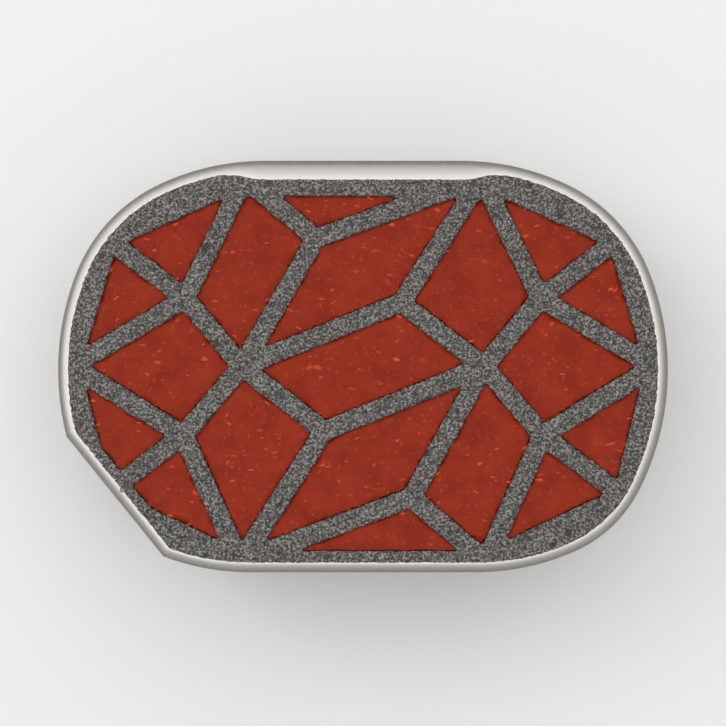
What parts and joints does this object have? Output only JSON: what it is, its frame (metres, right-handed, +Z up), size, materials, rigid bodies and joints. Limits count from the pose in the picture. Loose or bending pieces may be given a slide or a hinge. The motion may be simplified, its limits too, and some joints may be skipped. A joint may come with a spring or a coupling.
{
  "type": "spinal interbody cage",
  "caption": "Wedge-shaped lumbar interbody cage with a smooth rim, porous truss endplates packed with bone graft and a threaded hole in an oblique face.",
  "frame": {"origin": "middle of the cage's outline on the lower endplate, which lies flat on z = 0", "axes": "+X across the cage, to the right in the picture; +Y to the back of the spine, up in the picture; +Z up, out of the sloping upper endplate"},
  "size_m": [0.04, 0.027, 0.0139],
  "materials": {
    "satin_titanium": "satin, as printed and polished",
    "porous_titanium": "rough, porous, as printed",
    "bone_graft": "wet, packed morsels"
  },
  "bodies": {
    "root": {"cage_body": "satin_titanium", "bone_graft": "bone_graft"}
  },
  "joints": []
}
